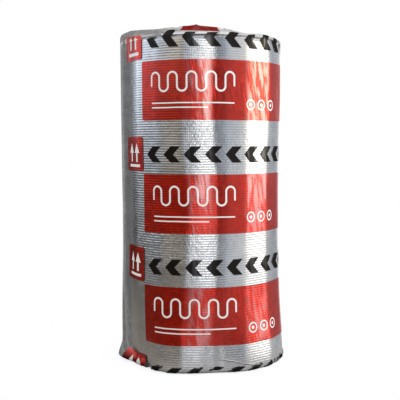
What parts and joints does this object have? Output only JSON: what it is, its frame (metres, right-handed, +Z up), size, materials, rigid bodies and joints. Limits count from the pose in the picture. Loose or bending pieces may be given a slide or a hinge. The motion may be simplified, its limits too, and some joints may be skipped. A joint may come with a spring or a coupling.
{
  "type": "insulation roll",
  "caption": "Foil-faced mineral wool mat rolled up around an open bore and sleeved in printed shrink film, stored standing on its end for wrapping ducts, pipes and walls",
  "frame": {"origin": "on the floor, under the middle of the bore", "axes": "+Z up along the roll's axis, -Y the front that the picture shows, +X to the right of that front"},
  "size_m": [0.6008, 0.6008, 1.2297],
  "materials": {
    "foil_faced_wool": "satin aluminium foil with a fine woven rib, on grey-green mineral wool that shows at the ends",
    "printed_film": "clear glossy shrink film with red panels and black marks"
  },
  "bodies": {
    "root": {"mat_roll": "foil_faced_wool", "film_wrap": "printed_film"}
  },
  "joints": []
}
